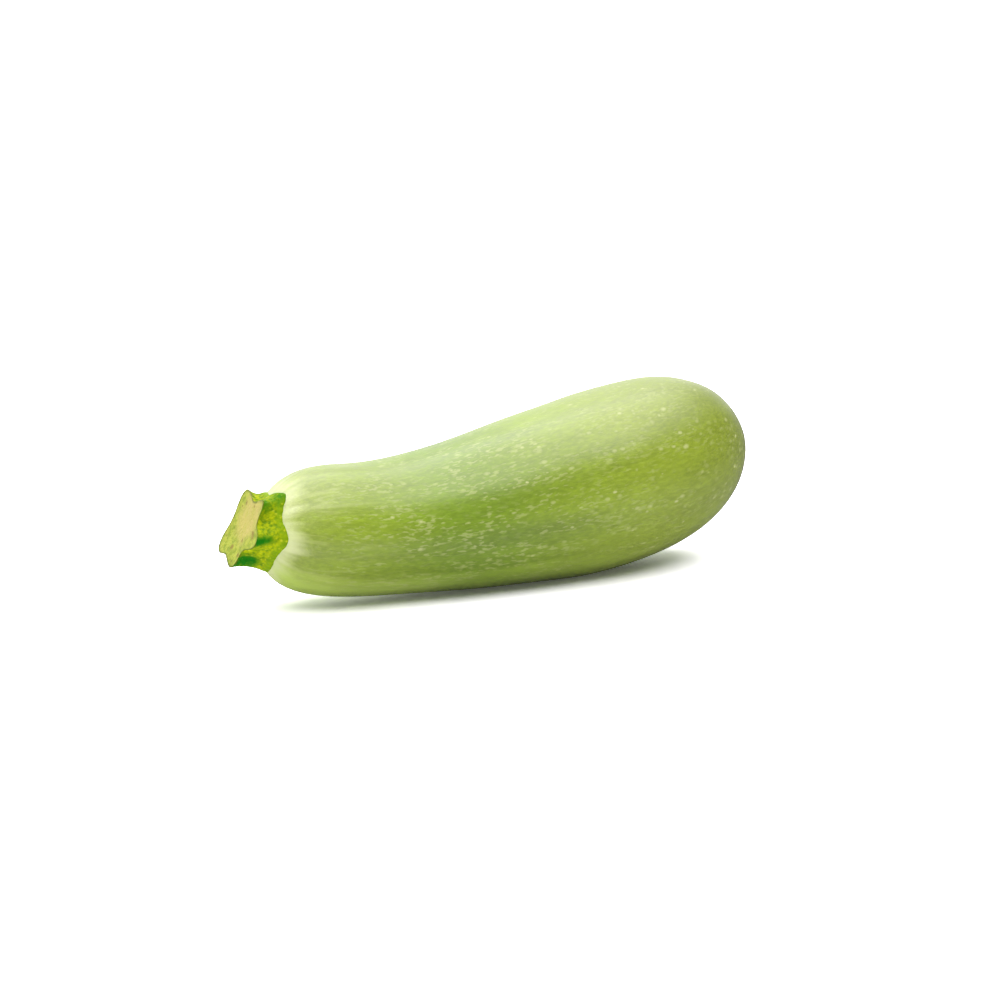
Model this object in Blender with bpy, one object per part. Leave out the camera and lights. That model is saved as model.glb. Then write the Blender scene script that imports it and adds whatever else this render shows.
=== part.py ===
"""A baby zucchini as picked, lying on its side, with the stub of its cut stem. Blender 4.5, metres, +Z up.

The origin is on the small flat that the fruit rests on. +X runs from the stem end to the blossom end, and the
fruit bows towards -Y. A girth angle is measured round the fruit, from its top towards -Y.
"""

import math

import bmesh
import bpy
from mathutils import Quaternion, Vector

MM = 0.001
DEGREE = math.pi / 180

# The fruit: a narrow neck at the stem end, swelling to the belly at the blossom end
FRUIT_LENGTH = 125 * MM  # along the bowed middle line
BOW = 20 * DEGREE  # how far the middle line turns, end to end
NECK_RADIUS = 14.8 * MM
BELLY_RADIUS = 20.8 * MM
SWELL_FROM = 0.15  # as shares of the length
SWELL_TO = 0.71
SHOULDER_DEPTH = 32.6 * MM  # how much of the length rounds off at the stem end
SHOULDER_POWER = 5.0  # higher is blunter
SHOULDER_LEAN = 5 * DEGREE  # the stem end looks up by this much
SHOULDER_LEAN_REACH = 26 * MM
BLOSSOM_DEPTH = 46.8 * MM
BLOSSOM_POWER = 3.75

# How it lies: it rocks on its underside, and both ends stand clear of the surface
REST_SHARE = 0.59
NECK_LIFT = 4.7 * MM
BLOSSOM_LIFT = 10.6 * MM
REST_FLAT_DEPTH = 0.7 * MM

# Five soft ribs run on from near the stem's ridges, with a fainter one between each pair
RIBS = 5
RIB_ANGLE = 25 * DEGREE  # the girth angle of the first
RIB_AT_SHOULDER = 0.030  # as shares of the radius
RIB_AT_BELLY = 0.005
RIB_REACH = 18 * MM
FINE_RIB = 0.003

# The scar where the blossom dropped off: a shallow dimple in a low ring
SCAR_DEPTH = 0.9 * MM
SCAR_RADIUS = 2.6 * MM
SCAR_RING_HEIGHT = 0.35 * MM
SCAR_RING_RADIUS = 4.6 * MM
SCAR_RING_WIDTH = 1.3 * MM

# The stem's stub: five ridges, flared into a collar on the shoulder and again at the cut
STEM_HEIGHT = 3.6 * MM  # from the shoulder's pole to the middle of the cut
STEM_DROOP = 1.1 * MM  # how far the middle of the cut hangs below the shoulder's axis
STEM_ASIDE = 1.2 * MM  # and how far it stands aside from it, towards -Y
STEM_GAP = 0.4 * MM  # between the collar and the skin
STEM_OUTLINE = (  # a ridge, then a valley, and so on round: girth angle, collar's radius, cut's radius
    (31 * DEGREE, 9.5 * MM, 9.0 * MM),
    (62 * DEGREE, 8.1 * MM, 6.8 * MM),
    (95 * DEGREE, 10.1 * MM, 9.9 * MM),
    (131 * DEGREE, 8.7 * MM, 5.9 * MM),
    (167 * DEGREE, 9.7 * MM, 8.5 * MM),
    (206 * DEGREE, 7.9 * MM, 7.6 * MM),
    (238 * DEGREE, 10.1 * MM, 11.3 * MM),
    (277 * DEGREE, 7.7 * MM, 8.6 * MM),
    (314 * DEGREE, 8.6 * MM, 11.1 * MM),
    (358 * DEGREE, 6.8 * MM, 6.8 * MM),
)
RIDGE_SHARPNESS = 1.3
COLLAR_LIP = 0.9 * MM
CUT_LOOKS_UP = 12.5 * DEGREE  # the cut was made at a slant
CUT_LOOKS_FRONT = 1 * DEGREE  # towards -Y
WAIST_DEPTH = 0.6 * MM
CUT_HOLLOW = 0.5 * MM

# How finely the solids are faceted
GIRTH_SIDES = 60
FRUIT_RINGS = 46
EVEN_SHARE = 0.35  # of the ring spacing; the rest draws the rings together at the ends
PROFILE_SAMPLES = 2000
COLLAR_RINGS = 4
STEM_RINGS = 8
CUT_RINGS = 3

SKIN_COLOUR = (0.42, 0.53, 0.13, 1.0)
STEM_COLOUR = (0.22, 0.38, 0.03, 1.0)


def ease(t):
    """0 below 0, 1 above 1, and a smooth step between."""
    t = min(max(t, 0.0), 1.0)
    return t * t * (3 - 2 * t)


def trunk_radius(s):
    """The radius at s along the middle line, with the two ends not yet rounded off."""
    swell = ease((s / FRUIT_LENGTH - SWELL_FROM) / (SWELL_TO - SWELL_FROM))
    return NECK_RADIUS + (BELLY_RADIUS - NECK_RADIUS) * swell


def end_taper(s):
    """What the rounded ends leave of the radius, from 0 at a pole to 1."""
    shoulder = max(0.0, 1 - s / SHOULDER_DEPTH)
    blossom = max(0.0, 1 - (FRUIT_LENGTH - s) / BLOSSOM_DEPTH)
    return math.sqrt(max(0.0, (1 - shoulder**SHOULDER_POWER) * (1 - blossom**BLOSSOM_POWER)))


def rib(s, girth):
    """How far the ribs raise the skin, as a share of the radius."""
    fade = math.exp(-s / RIB_REACH)
    turn = RIBS * (girth - RIB_ANGLE)
    coarse = RIB_AT_BELLY + (RIB_AT_SHOULDER - RIB_AT_BELLY) * fade
    return coarse * math.cos(turn) + FINE_RIB * math.cos(2 * turn)


def lift(s):
    """How far the underside stands above its lowest point."""
    rest = REST_SHARE * FRUIT_LENGTH
    if s < rest:
        return NECK_LIFT * ((rest - s) / rest) ** 2
    return BLOSSOM_LIFT * ((s - rest) / (FRUIT_LENGTH - rest)) ** 2


def middle(s):
    """The point at s along the middle line. The line is an arc as seen from above."""
    bow_radius = FRUIT_LENGTH / BOW
    heading = BOW * (s / FRUIT_LENGTH - 0.5)
    at_rest = BOW * (REST_SHARE - 0.5)
    return Vector(
        (
            bow_radius * (math.sin(heading) - math.sin(at_rest)),
            bow_radius * (math.cos(at_rest) - math.cos(heading)),
            lift(s) + trunk_radius(s) - REST_FLAT_DEPTH,
        )
    )


def ring_axes(s):
    """(along, side, up): the fruit's direction at s, and the two axes that its ring there lies on."""
    step = FRUIT_LENGTH / PROFILE_SAMPLES
    along = (middle(s + step) - middle(s - step)).normalized()
    side = Vector((along.y, -along.x, 0)).normalized()
    lean = SHOULDER_LEAN * (1 - ease(s / SHOULDER_LEAN_REACH))
    up = side.cross(along)
    leaned = along * math.cos(lean) - up * math.sin(lean)
    return leaned, side, side.cross(leaned)


def spoke(s, girth):
    """The direction from the middle line to the skin at a girth angle."""
    _, side, up = ring_axes(s)
    return up * math.cos(girth) + side * math.sin(girth)


def scar(radius):
    """How far the blossom scar moves the skin outwards, at a radius from the blossom end's pole."""
    dimple = SCAR_DEPTH * math.exp(-((radius / SCAR_RADIUS) ** 2))
    ring = SCAR_RING_HEIGHT * math.exp(-(((radius - SCAR_RING_RADIUS) / SCAR_RING_WIDTH) ** 2))
    return ring - dimple


def skin_point(s, girth):
    """The point of the skin at s along the middle line and at a girth angle."""
    radius = trunk_radius(s) * end_taper(s) * (1 + rib(s, girth))
    point = middle(s) + spoke(s, girth) * radius
    if s > FRUIT_LENGTH / 2:
        point += ring_axes(s)[0] * scar(radius)
    return point


def ring_places():
    """Where the fruit's rings stand along the middle line, spaced along the skin and closer at the ends."""
    samples = [FRUIT_LENGTH * i / PROFILE_SAMPLES for i in range(PROFILE_SAMPLES + 1)]
    radii = [trunk_radius(s) * end_taper(s) for s in samples]
    walked = [0.0]
    for i in range(PROFILE_SAMPLES):
        walked.append(walked[-1] + math.hypot(samples[i + 1] - samples[i], radii[i + 1] - radii[i]))
    places = []
    nearest = 0
    for i in range(1, FRUIT_RINGS):
        share = i / FRUIT_RINGS
        share = EVEN_SHARE * share + (1 - EVEN_SHARE) * (1 - math.cos(math.pi * share)) / 2
        while walked[nearest + 1] < share * walked[-1]:
            nearest += 1
        part = (share * walked[-1] - walked[nearest]) / (walked[nearest + 1] - walked[nearest])
        places.append(samples[nearest] + part * (samples[nearest + 1] - samples[nearest]))
    return places


def girths():
    """The girth angles of a ring's corners."""
    return [2 * math.pi * i / GIRTH_SIDES for i in range(GIRTH_SIDES)]


def skin_rings(bm, rings, first_pole, last_pole):
    """Joins rings of points into one closed skin, with a pole at each end."""
    corners = [[bm.verts.new(point) for point in ring] for ring in rings]
    sides = range(GIRTH_SIDES)
    for low, high in zip(corners, corners[1:]):
        for i in sides:
            j = (i + 1) % GIRTH_SIDES
            bm.faces.new((low[i], low[j], high[j], high[i]))
    start = bm.verts.new(first_pole)
    finish = bm.verts.new(last_pole)
    for i in sides:
        j = (i + 1) % GIRTH_SIDES
        bm.faces.new((start, corners[0][j], corners[0][i]))
        bm.faces.new((finish, corners[-1][i], corners[-1][j]))
    bmesh.ops.recalc_face_normals(bm, faces=bm.faces[:])


def flatten_underside(bm):
    """Cuts the small flat that the fruit rests on."""
    everything = bm.verts[:] + bm.edges[:] + bm.faces[:]
    bmesh.ops.bisect_plane(bm, geom=everything, plane_co=(0, 0, 0), plane_no=(0, 0, 1), clear_inner=True)
    bmesh.ops.holes_fill(bm, edges=[edge for edge in bm.edges if edge.is_boundary])
    bmesh.ops.recalc_face_normals(bm, faces=bm.faces[:])


def make_fruit(bm):
    """The whole fruit, in one skin."""
    rings = [[skin_point(s, girth) for girth in girths()] for s in ring_places()]
    skin_rings(bm, rings, skin_point(0, 0), skin_point(FRUIT_LENGTH, 0))
    flatten_underside(bm)


def stem_radii(girth):
    """The stub's radius at its collar and at its cut, between the ridge and the valley beside a girth angle."""
    for i, (start, *here) in enumerate(STEM_OUTLINE):
        end, *beyond = STEM_OUTLINE[(i + 1) % len(STEM_OUTLINE)]
        share = (girth - start) % (2 * math.pi) / ((end - start) % (2 * math.pi))
        if share <= 1:
            break
    ridge, valley = here, beyond
    if i % 2 == 1:
        ridge, valley, share = beyond, here, 1 - share
    height = ((1 + math.cos(math.pi * share)) / 2) ** RIDGE_SHARPNESS
    return [low + (high - low) * height for low, high in zip(valley, ridge)]


def cut_point(share, girth):
    """A point of the cut, from its middle at share 0 to its rim at 1. It dries slightly hollow."""
    along, side, up = ring_axes(0)
    slant = Quaternion(up, CUT_LOOKS_FRONT) @ Quaternion(side, -CUT_LOOKS_UP)
    outward = slant @ (up * math.cos(girth) + side * math.sin(girth))
    inward = slant @ along
    centre = middle(0) - along * STEM_HEIGHT - up * STEM_DROOP + side * STEM_ASIDE
    return centre + outward * stem_radii(girth)[1] * share + inward * CUT_HOLLOW * (1 - share**2)


def on_shoulder(radius, girth, clear):
    """A point over the shoulder's skin at a radius from its pole, clear of the skin along the stem."""
    round_off = 1 - (radius / (NECK_RADIUS * (1 + rib(0, girth)))) ** 2
    s = SHOULDER_DEPTH * (1 - round_off ** (1 / SHOULDER_POWER))
    return skin_point(s, girth) - ring_axes(0)[0] * clear


def stem_side(share, girth):
    """A point of the stub's side, from the collar's lip at share 0 to the rim of the cut at 1."""
    lip = on_shoulder(stem_radii(girth)[0], girth, STEM_GAP + COLLAR_LIP)
    waist = WAIST_DEPTH * 4 * share * (1 - share)
    return lip.lerp(cut_point(1, girth), share) - spoke(0, girth) * waist


def make_stem(bm):
    """The stub, from under its collar, up its side and over the cut."""
    rings = []
    for i in range(1, COLLAR_RINGS + 1):
        share = i / COLLAR_RINGS
        rings.append([on_shoulder(share * stem_radii(girth)[0], girth, STEM_GAP) for girth in girths()])
    for i in range(STEM_RINGS + 1):
        rings.append([stem_side(i / STEM_RINGS, girth) for girth in girths()])
    for i in range(CUT_RINGS - 1, 0, -1):
        rings.append([cut_point(i / CUT_RINGS, girth) for girth in girths()])
    skin_rings(bm, rings, on_shoulder(0, 0, STEM_GAP), cut_point(0, 0))


def add_piece(name, make, colour, roughness, crease_angle):
    """Builds one solid, shades it smooth below the crease angle and gives it a plain finish."""
    mesh = bpy.data.meshes.new(name)
    bm = bmesh.new()
    make(bm)
    bm.to_mesh(mesh)
    bm.free()
    mesh.shade_smooth()
    mesh.set_sharp_from_angle(angle=crease_angle)
    material = bpy.data.materials.new(name)
    material.use_nodes = True
    shader = material.node_tree.nodes["Principled BSDF"]
    shader.inputs["Base Color"].default_value = colour
    shader.inputs["Roughness"].default_value = roughness
    mesh.materials.append(material)
    piece = bpy.data.objects.new(name, mesh)
    bpy.context.scene.collection.objects.link(piece)
    return piece


def clear_scene():
    for old in list(bpy.data.objects):
        bpy.data.objects.remove(old, do_unlink=True)


def main():
    clear_scene()
    add_piece("fruit", make_fruit, SKIN_COLOUR, 0.38, 40 * DEGREE)
    add_piece("stem", make_stem, STEM_COLOUR, 0.62, 35 * DEGREE)


main()
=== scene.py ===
import json
import logging
import math
from collections.abc import Iterator
from dataclasses import dataclass, field
from enum import Enum
from typing import Any

import bpy
import numpy as np
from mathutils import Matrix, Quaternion, Vector


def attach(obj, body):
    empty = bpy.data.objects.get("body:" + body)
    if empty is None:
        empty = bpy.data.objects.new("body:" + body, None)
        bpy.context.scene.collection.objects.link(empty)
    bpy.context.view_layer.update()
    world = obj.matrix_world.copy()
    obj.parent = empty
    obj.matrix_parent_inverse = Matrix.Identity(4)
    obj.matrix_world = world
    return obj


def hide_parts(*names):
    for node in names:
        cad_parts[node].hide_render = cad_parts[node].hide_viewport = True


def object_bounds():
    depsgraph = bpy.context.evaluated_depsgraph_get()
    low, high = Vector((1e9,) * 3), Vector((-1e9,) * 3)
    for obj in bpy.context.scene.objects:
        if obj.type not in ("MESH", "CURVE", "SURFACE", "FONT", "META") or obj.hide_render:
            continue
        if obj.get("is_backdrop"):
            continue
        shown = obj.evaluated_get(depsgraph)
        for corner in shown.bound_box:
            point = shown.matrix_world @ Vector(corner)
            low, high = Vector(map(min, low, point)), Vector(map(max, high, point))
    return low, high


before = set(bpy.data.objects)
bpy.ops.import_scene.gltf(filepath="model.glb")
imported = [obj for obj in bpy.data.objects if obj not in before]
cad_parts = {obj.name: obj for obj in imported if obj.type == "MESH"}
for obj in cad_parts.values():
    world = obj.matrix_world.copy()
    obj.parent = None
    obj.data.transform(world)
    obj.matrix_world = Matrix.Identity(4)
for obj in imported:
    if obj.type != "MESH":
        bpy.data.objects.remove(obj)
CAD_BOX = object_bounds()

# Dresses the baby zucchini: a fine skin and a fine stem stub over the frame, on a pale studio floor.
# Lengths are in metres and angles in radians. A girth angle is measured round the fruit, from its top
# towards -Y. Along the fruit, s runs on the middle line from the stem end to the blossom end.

MM = 0.001
DEGREE = math.pi / 180

log = logging.getLogger("zucchini")

Array = np.ndarray
Colour = tuple[float, float, float, float]
Socket = bpy.types.NodeSocket
Node = bpy.types.Node

WHITE: Colour = (1, 1, 1, 1)


class Body(Enum):
    """The frame's bodies that pieces ride on."""

    WHOLE = "root"


class Slot(Enum):
    """The record's material slots."""

    SKIN = "skin"
    STEM = "stem"


class StubFace(Enum):
    """The stub's own materials, in the order of its slots."""

    SIDE = 0
    CUT = 1


class Place(Enum):
    """The point attributes that the finishes read."""

    SKIN = "skin_place"  # where a point would be on the fruit made straight, for flecks and clouds
    GIRTH = "girth_place"  # the same at one girth all along, for lines; Z is the way from the stem's pole
    COLLAR = "from_collar"  # the way along the skin from the edge of the stem's collar
    STRIPE = "stripe"  # 1 in the dark stripes along the stem's ridges
    REACH = "reach"  # 0 at the stem's collar and 1 at its cut; on the cut 0 in the middle and 1 at the rim
    SPREAD = "spread"  # the distance from the middle of the cut's pith
    BLOT = "blot"  # 1 in the middle of the cut's brown spots


def ease(t: Array) -> Array:
    """0 below 0, 1 above 1, and a smooth step between."""
    t = np.clip(t, 0, 1)
    return t * t * (3 - 2 * t)


def unit(v: Array) -> Array:
    """The vectors, each made one long."""
    return v / np.linalg.norm(v, axis=-1, keepdims=True)


@dataclass(frozen=True)
class FruitForm:
    """The fruit's shape: the sizes of the part's source, and the finer swellings of a grown skin."""

    length: float = 125 * MM
    bow: float = 20 * DEGREE
    neck_radius: float = 14.8 * MM
    belly_radius: float = 20.8 * MM
    swell_from: float = 0.15  # the neck swells into the belly between these shares of the length
    swell_to: float = 0.71
    shoulder_depth: float = 32.6 * MM
    shoulder_power: float = 5.0  # the higher, the squarer the end
    shoulder_lean: float = 5 * DEGREE  # the stem end looks up by this
    shoulder_lean_reach: float = 26 * MM
    blossom_depth: float = 46.8 * MM
    blossom_power: float = 3.75
    rest_share: float = 0.59  # how far along the length it rests
    neck_lift: float = 4.7 * MM  # how far each end is off the ground
    blossom_lift: float = 10.6 * MM
    rest_flat_depth: float = 0.7 * MM
    ribs: int = 5
    rib_angle: float = 25 * DEGREE
    rib_at_shoulder: float = 0.030  # these three as shares of the radius
    rib_at_belly: float = 0.005
    fine_rib: float = 0.003
    rib_reach: float = 18 * MM
    scar_depth: float = 0.9 * MM
    scar_radius: float = 2.6 * MM
    scar_ring_height: float = 0.23 * MM
    scar_ring_radius: float = 4.6 * MM
    scar_ring_width: float = 1.3 * MM
    furrow_depth: float = 0.035 * MM
    furrow_reach: float = 9 * MM
    furrow_turns: tuple[int, ...] = (13, 17, 23, 31)  # several counts round the fruit make them uneven
    wander: float = 0.08 * MM
    waves: tuple[tuple[float, ...], ...] = (  # unevenness: turn along, turns round, phase, share
        (9, 2, 0.7, 1.0), (15, -3, 2.1, 1.0), (31, 5, 0.0, 0.4), (22, -7, 1.3, 0.4),
    )
    shrink: float = 0.18 * MM  # keeps the finer swellings inside the frame

    def trunk_radius(self, s: Array) -> Array:
        """The radius with the two ends not yet rounded off."""
        swell = ease((s / self.length - self.swell_from) / (self.swell_to - self.swell_from))
        return self.neck_radius + (self.belly_radius - self.neck_radius) * swell

    def end_taper(self, s: Array) -> Array:
        """What the rounded ends leave of the radius.

        Args:
            s: Places along the middle line.

        Returns:
            The share of the radius at each place, from 0 at the poles to 1.
        """
        shoulder = np.clip(1 - s / self.shoulder_depth, 0, 1) ** self.shoulder_power
        blossom = np.clip(1 - (self.length - s) / self.blossom_depth, 0, 1) ** self.blossom_power
        return np.sqrt(np.clip((1 - shoulder) * (1 - blossom), 0, None))

    def rib(self, s: Array, girth: Array) -> Array:
        """How far the ribs raise the skin.

        Args:
            s: Places along the middle line.
            girth: Girth angles, of a shape that goes with s.

        Returns:
            The rise as a share of the radius.
        """
        turn = self.ribs * (girth - self.rib_angle)
        coarse = self.rib_at_belly + (self.rib_at_shoulder - self.rib_at_belly) * np.exp(-s / self.rib_reach)
        return coarse * np.cos(turn) + self.fine_rib * np.cos(2 * turn)

    def middle(self, s: Array) -> Array:
        """Points of the middle line.

        Args:
            s: Places along it.

        Returns:
            The points, in one more dimension than s has.
        """
        rest = self.rest_share * self.length
        bow_radius = self.length / self.bow
        heading = self.bow * (s / self.length - 0.5)
        at_rest = self.bow * (self.rest_share - 0.5)
        before = self.neck_lift * ((rest - s) / rest) ** 2
        after = self.blossom_lift * ((s - rest) / (self.length - rest)) ** 2
        x = bow_radius * (np.sin(heading) - math.sin(at_rest))
        y = bow_radius * (math.cos(at_rest) - np.cos(heading))
        z = np.where(s < rest, before, after) + self.trunk_radius(s) - self.rest_flat_depth
        return np.stack([x, y, z], axis=-1)

    def ring_axes(self, s: Array) -> tuple[Array, Array, Array]:
        """The fruit's direction, and the two axes that its ring lies on.

        Args:
            s: Places along the middle line.

        Returns:
            The unit vectors along, side and up at each place.
        """
        step = 0.05 * MM
        along = unit(self.middle(s + step) - self.middle(s - step))
        flat = np.zeros_like(along[..., 0])
        side = unit(np.stack([along[..., 1], -along[..., 0], flat], axis=-1))
        lean = self.shoulder_lean * (1 - ease(s / self.shoulder_lean_reach))[..., None]
        leaned = along * np.cos(lean) - np.cross(side, along) * np.sin(lean)
        return leaned, side, np.cross(side, leaned)

    def scar(self, radius: Array) -> Array:
        """How far the blossom scar moves the skin outwards.

        Args:
            radius: The distance from the blossom end's pole.

        Returns:
            The move at each radius: inwards in the dimple, outwards on the ring round it.
        """
        dimple = self.scar_depth * np.exp(-((radius / self.scar_radius) ** 2))
        off_ring = (radius - self.scar_ring_radius) / self.scar_ring_width
        return self.scar_ring_height * np.exp(-(off_ring**2)) - dimple

    def grown(self, s: Array, girth: Array) -> Array:
        """The finer swellings: furrows that run out from the stem, and a body that isn't quite even.

        Args:
            s: Places along the middle line.
            girth: Girth angles, of a shape that goes with s.

        Returns:
            How far the skin stands out there.
        """
        furrows = sum(np.cos(turn * girth + turn * turn) for turn in self.furrow_turns)
        folds = self.furrow_depth * furrows * np.exp(-s / self.furrow_reach)
        uneven = sum(
            share * np.sin(turn * s / self.length + turns * girth + phase)
            for turn, turns, phase, share in self.waves)
        return folds + self.wander * uneven * self.end_taper(s) - self.shrink

    def skin(self, s: Array, girth: Array, fine: bool = True) -> Array:
        """Points of the skin.

        Args:
            s: Places along the middle line.
            girth: Girth angles, of a shape that goes with s.
            fine: Whether the finer swellings are there.

        Returns:
            The points, in one more dimension than s and girth share.
        """
        along, side, up = self.ring_axes(s)
        radius = self.trunk_radius(s) * self.end_taper(s) * (1 + self.rib(s, girth))
        if fine:
            radius = radius + self.grown(s, girth) * np.minimum(radius / self.neck_radius, 1)
        spoke = up * np.cos(girth)[..., None] + side * np.sin(girth)[..., None]
        scar = np.where(s > self.length / 2, self.scar(radius), 0.0)
        return self.middle(s) + spoke * radius[..., None] + along * scar[..., None]


@dataclass(frozen=True)
class StemForm:
    """The stub's shape: the sizes of the part's source, and the finer shape of its lip, rim and cut."""

    fruit: FruitForm = field(default_factory=FruitForm)
    height: float = 3.57 * MM
    droop: float = 1.1 * MM
    aside: float = 1.2 * MM
    outline: tuple[tuple[float, float, float], ...] = (  # ridge, valley and so on: degrees, collar mm, cut mm
        (31, 9.5, 9.0), (62, 8.1, 6.8), (95, 10.1, 9.9), (131, 8.7, 5.9), (167, 9.7, 8.5),
        (206, 7.9, 7.6), (238, 10.1, 11.3), (277, 7.7, 8.6), (314, 8.6, 11.1), (358, 6.8, 6.8),
    )
    ridge_sharpness: float = 1.3
    collar_lip: float = 0.9 * MM
    cut_looks_up: float = 12.5 * DEGREE
    cut_looks_front: float = 1 * DEGREE
    waist_depth: float = 0.6 * MM
    cut_hollow: float = 0.5 * MM
    root_depth: float = 0.5 * MM  # how far the fine stub is sunk in the skin, so that no gap shows
    fibre_depth: float = 0.05 * MM
    fibres: int = 64
    fibre_beat: float = 0.62  # a second set of fibres, this share as many, makes the first uneven

    def radii(self, girth: Array) -> tuple[Array, Array]:
        """The stub's outline.

        Args:
            girth: Girth angles.

        Returns:
            The collar's radius on the shoulder and the radius of the cut's rim, at each angle.
        """
        collar, cut = np.zeros_like(girth), np.zeros_like(girth)
        turns = [start * DEGREE for start, _, _ in self.outline]
        for i, (_, *here) in enumerate(self.outline):
            j = (i + 1) % len(self.outline)
            share = (girth - turns[i]) % (2 * np.pi) / ((turns[j] - turns[i]) % (2 * np.pi))
            within = share <= 1
            beyond = self.outline[j][1:]
            ridge, valley = (here, beyond) if i % 2 == 0 else (beyond, here)
            rise = ((1 + np.cos(np.pi * (share if i % 2 == 0 else 1 - share))) / 2) ** self.ridge_sharpness
            for radius, low, high in zip((collar, cut), valley, ridge):
                radius[within] = ((low + (high - low) * rise) * MM)[within]
        return collar, cut

    def fibre(self, girth: Array) -> Array:
        """Fine lengthwise ridges of the stub's side."""
        turn = self.fibres * girth
        return self.fibre_depth * (np.cos(turn) + np.cos(self.fibre_beat * turn + 1) / 2)

    def spoke(self, girth: Array) -> Array:
        """The direction out from the shoulder's axis."""
        _, side, up = self.fruit.ring_axes(np.zeros(1))
        return up * np.cos(girth)[:, None] + side * np.sin(girth)[:, None]

    def on_shoulder(self, radius: Array, girth: Array, clear: float) -> Array:
        """Points over the shoulder's skin, clear of it along the stem by a distance.

        Args:
            radius: The distance from the shoulder's axis, at each girth.
            girth: Girth angles.
            clear: How far the points stand off the skin; below 0 they are in the flesh.

        Returns:
            A ring of points.
        """
        fruit = self.fruit
        round_off = 1 - (radius / (fruit.neck_radius * (1 + fruit.rib(np.zeros(1), girth)))) ** 2
        s = fruit.shoulder_depth * (1 - round_off ** (1 / fruit.shoulder_power))
        return fruit.skin(s, girth, fine=False) - fruit.ring_axes(np.zeros(1))[0] * clear

    def cut_point(self, share: float, girth: Array) -> Array:
        """A ring of the cut.

        Args:
            share: How far out the ring is, from 0 in the middle to 1 at the rim.
            girth: Girth angles.

        Returns:
            The ring's points, hollowed a little towards the middle.
        """
        along, side, up = (Vector(axis[0]) for axis in self.fruit.ring_axes(np.zeros(1)))
        slant = Quaternion(up, self.cut_looks_front) @ Quaternion(side, -self.cut_looks_up)
        across, over, inward = (np.array(slant @ axis) for axis in (up, side, along))
        outward = across * np.cos(girth)[:, None] + over * np.sin(girth)[:, None]
        middle = Vector(self.fruit.middle(np.zeros(1))[0])
        centre = np.array(middle - along * self.height - up * self.droop + side * self.aside)
        radius = (self.radii(girth)[1] * share)[:, None]
        return centre + outward * radius + inward * self.cut_hollow * (1 - share**2)

    def side(self, share: float, girth: Array) -> Array:
        """A ring of the stub's side.

        Args:
            share: How far up the ring is, from 0 at the collar's lip to 1 at the rim of the cut.
            girth: Girth angles.

        Returns:
            The ring's points, drawn in at the waist, with the fibres.
        """
        lip = self.on_shoulder(self.radii(girth)[0], girth, self.collar_lip)
        rim = self.cut_point(1, girth)
        pull = self.waist_depth * 4 * share * (1 - share) - self.fibre(girth) * math.sin(math.pi * share)
        return lip + (rim - lip) * share - self.spoke(girth) * pull[:, None]


@dataclass
class RingSkin:
    """A closed skin of rings of points, with a pole at each end."""

    name: str
    rings: list[Array] = field(default_factory=list)
    values: dict[Place, list[Array]] = field(default_factory=dict)
    slots: list[int] = field(default_factory=list)

    def add(self, ring: Array, values: dict[Place, Array], slot: int = 0) -> None:
        """Adds a ring.

        Args:
            ring: Its points.
            values: What each attribute is at the points.
            slot: The material slot of the faces from this ring to the next.
        """
        self.rings.append(ring)
        self.slots.append(slot)
        for place, rows in values.items():
            self.values.setdefault(place, []).append(rows)

    def faces(self) -> tuple[list[tuple[int, ...]], list[int]]:
        """The faces that join the rings and close the poles.

        Returns:
            The faces, each with its outside out, and the material slot of each.
        """
        count, sides = len(self.rings), len(self.rings[0])
        first, last = count * sides, count * sides + 1
        faces: list[tuple[int, ...]] = []
        slots: list[int] = []
        for i in range(sides):
            j = (i + 1) % sides
            faces.append((first, j, i))
            slots.append(self.slots[0])
            for k in range(count - 1):
                low, high = k * sides, (k + 1) * sides
                faces.append((low + i, low + j, high + j, high + i))
                slots.append(self.slots[k])
            low = (count - 1) * sides
            faces.append((last, low + i, low + j))
            slots.append(self.slots[-1])
        return faces, slots

    def make(self, poles: tuple[Array, Array]) -> bpy.types.Object:
        """Makes the object.

        Args:
            poles: The points that close the first and the last ring.

        Returns:
            The object, shaded smooth, in the scene.
        """
        mesh = bpy.data.meshes.new(self.name)
        points = np.concatenate([*self.rings, np.stack(poles)])
        faces, slots = self.faces()
        mesh.from_pydata(points.tolist(), [], faces)
        mesh.polygons.foreach_set("material_index", slots)
        mesh.shade_smooth()
        for place, rings in self.values.items():
            rows = np.concatenate(rings)
            kind = ("FLOAT_VECTOR", "vector") if rows.ndim > 1 else ("FLOAT", "value")
            rows = np.concatenate([rows, rows[:1], rows[-1:]])
            mesh.attributes.new(place.value, kind[0], "POINT").data.foreach_set(kind[1], rows.ravel())
        mesh.update()
        made = bpy.data.objects.new(self.name, mesh)
        bpy.context.scene.collection.objects.link(made)
        return made


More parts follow.
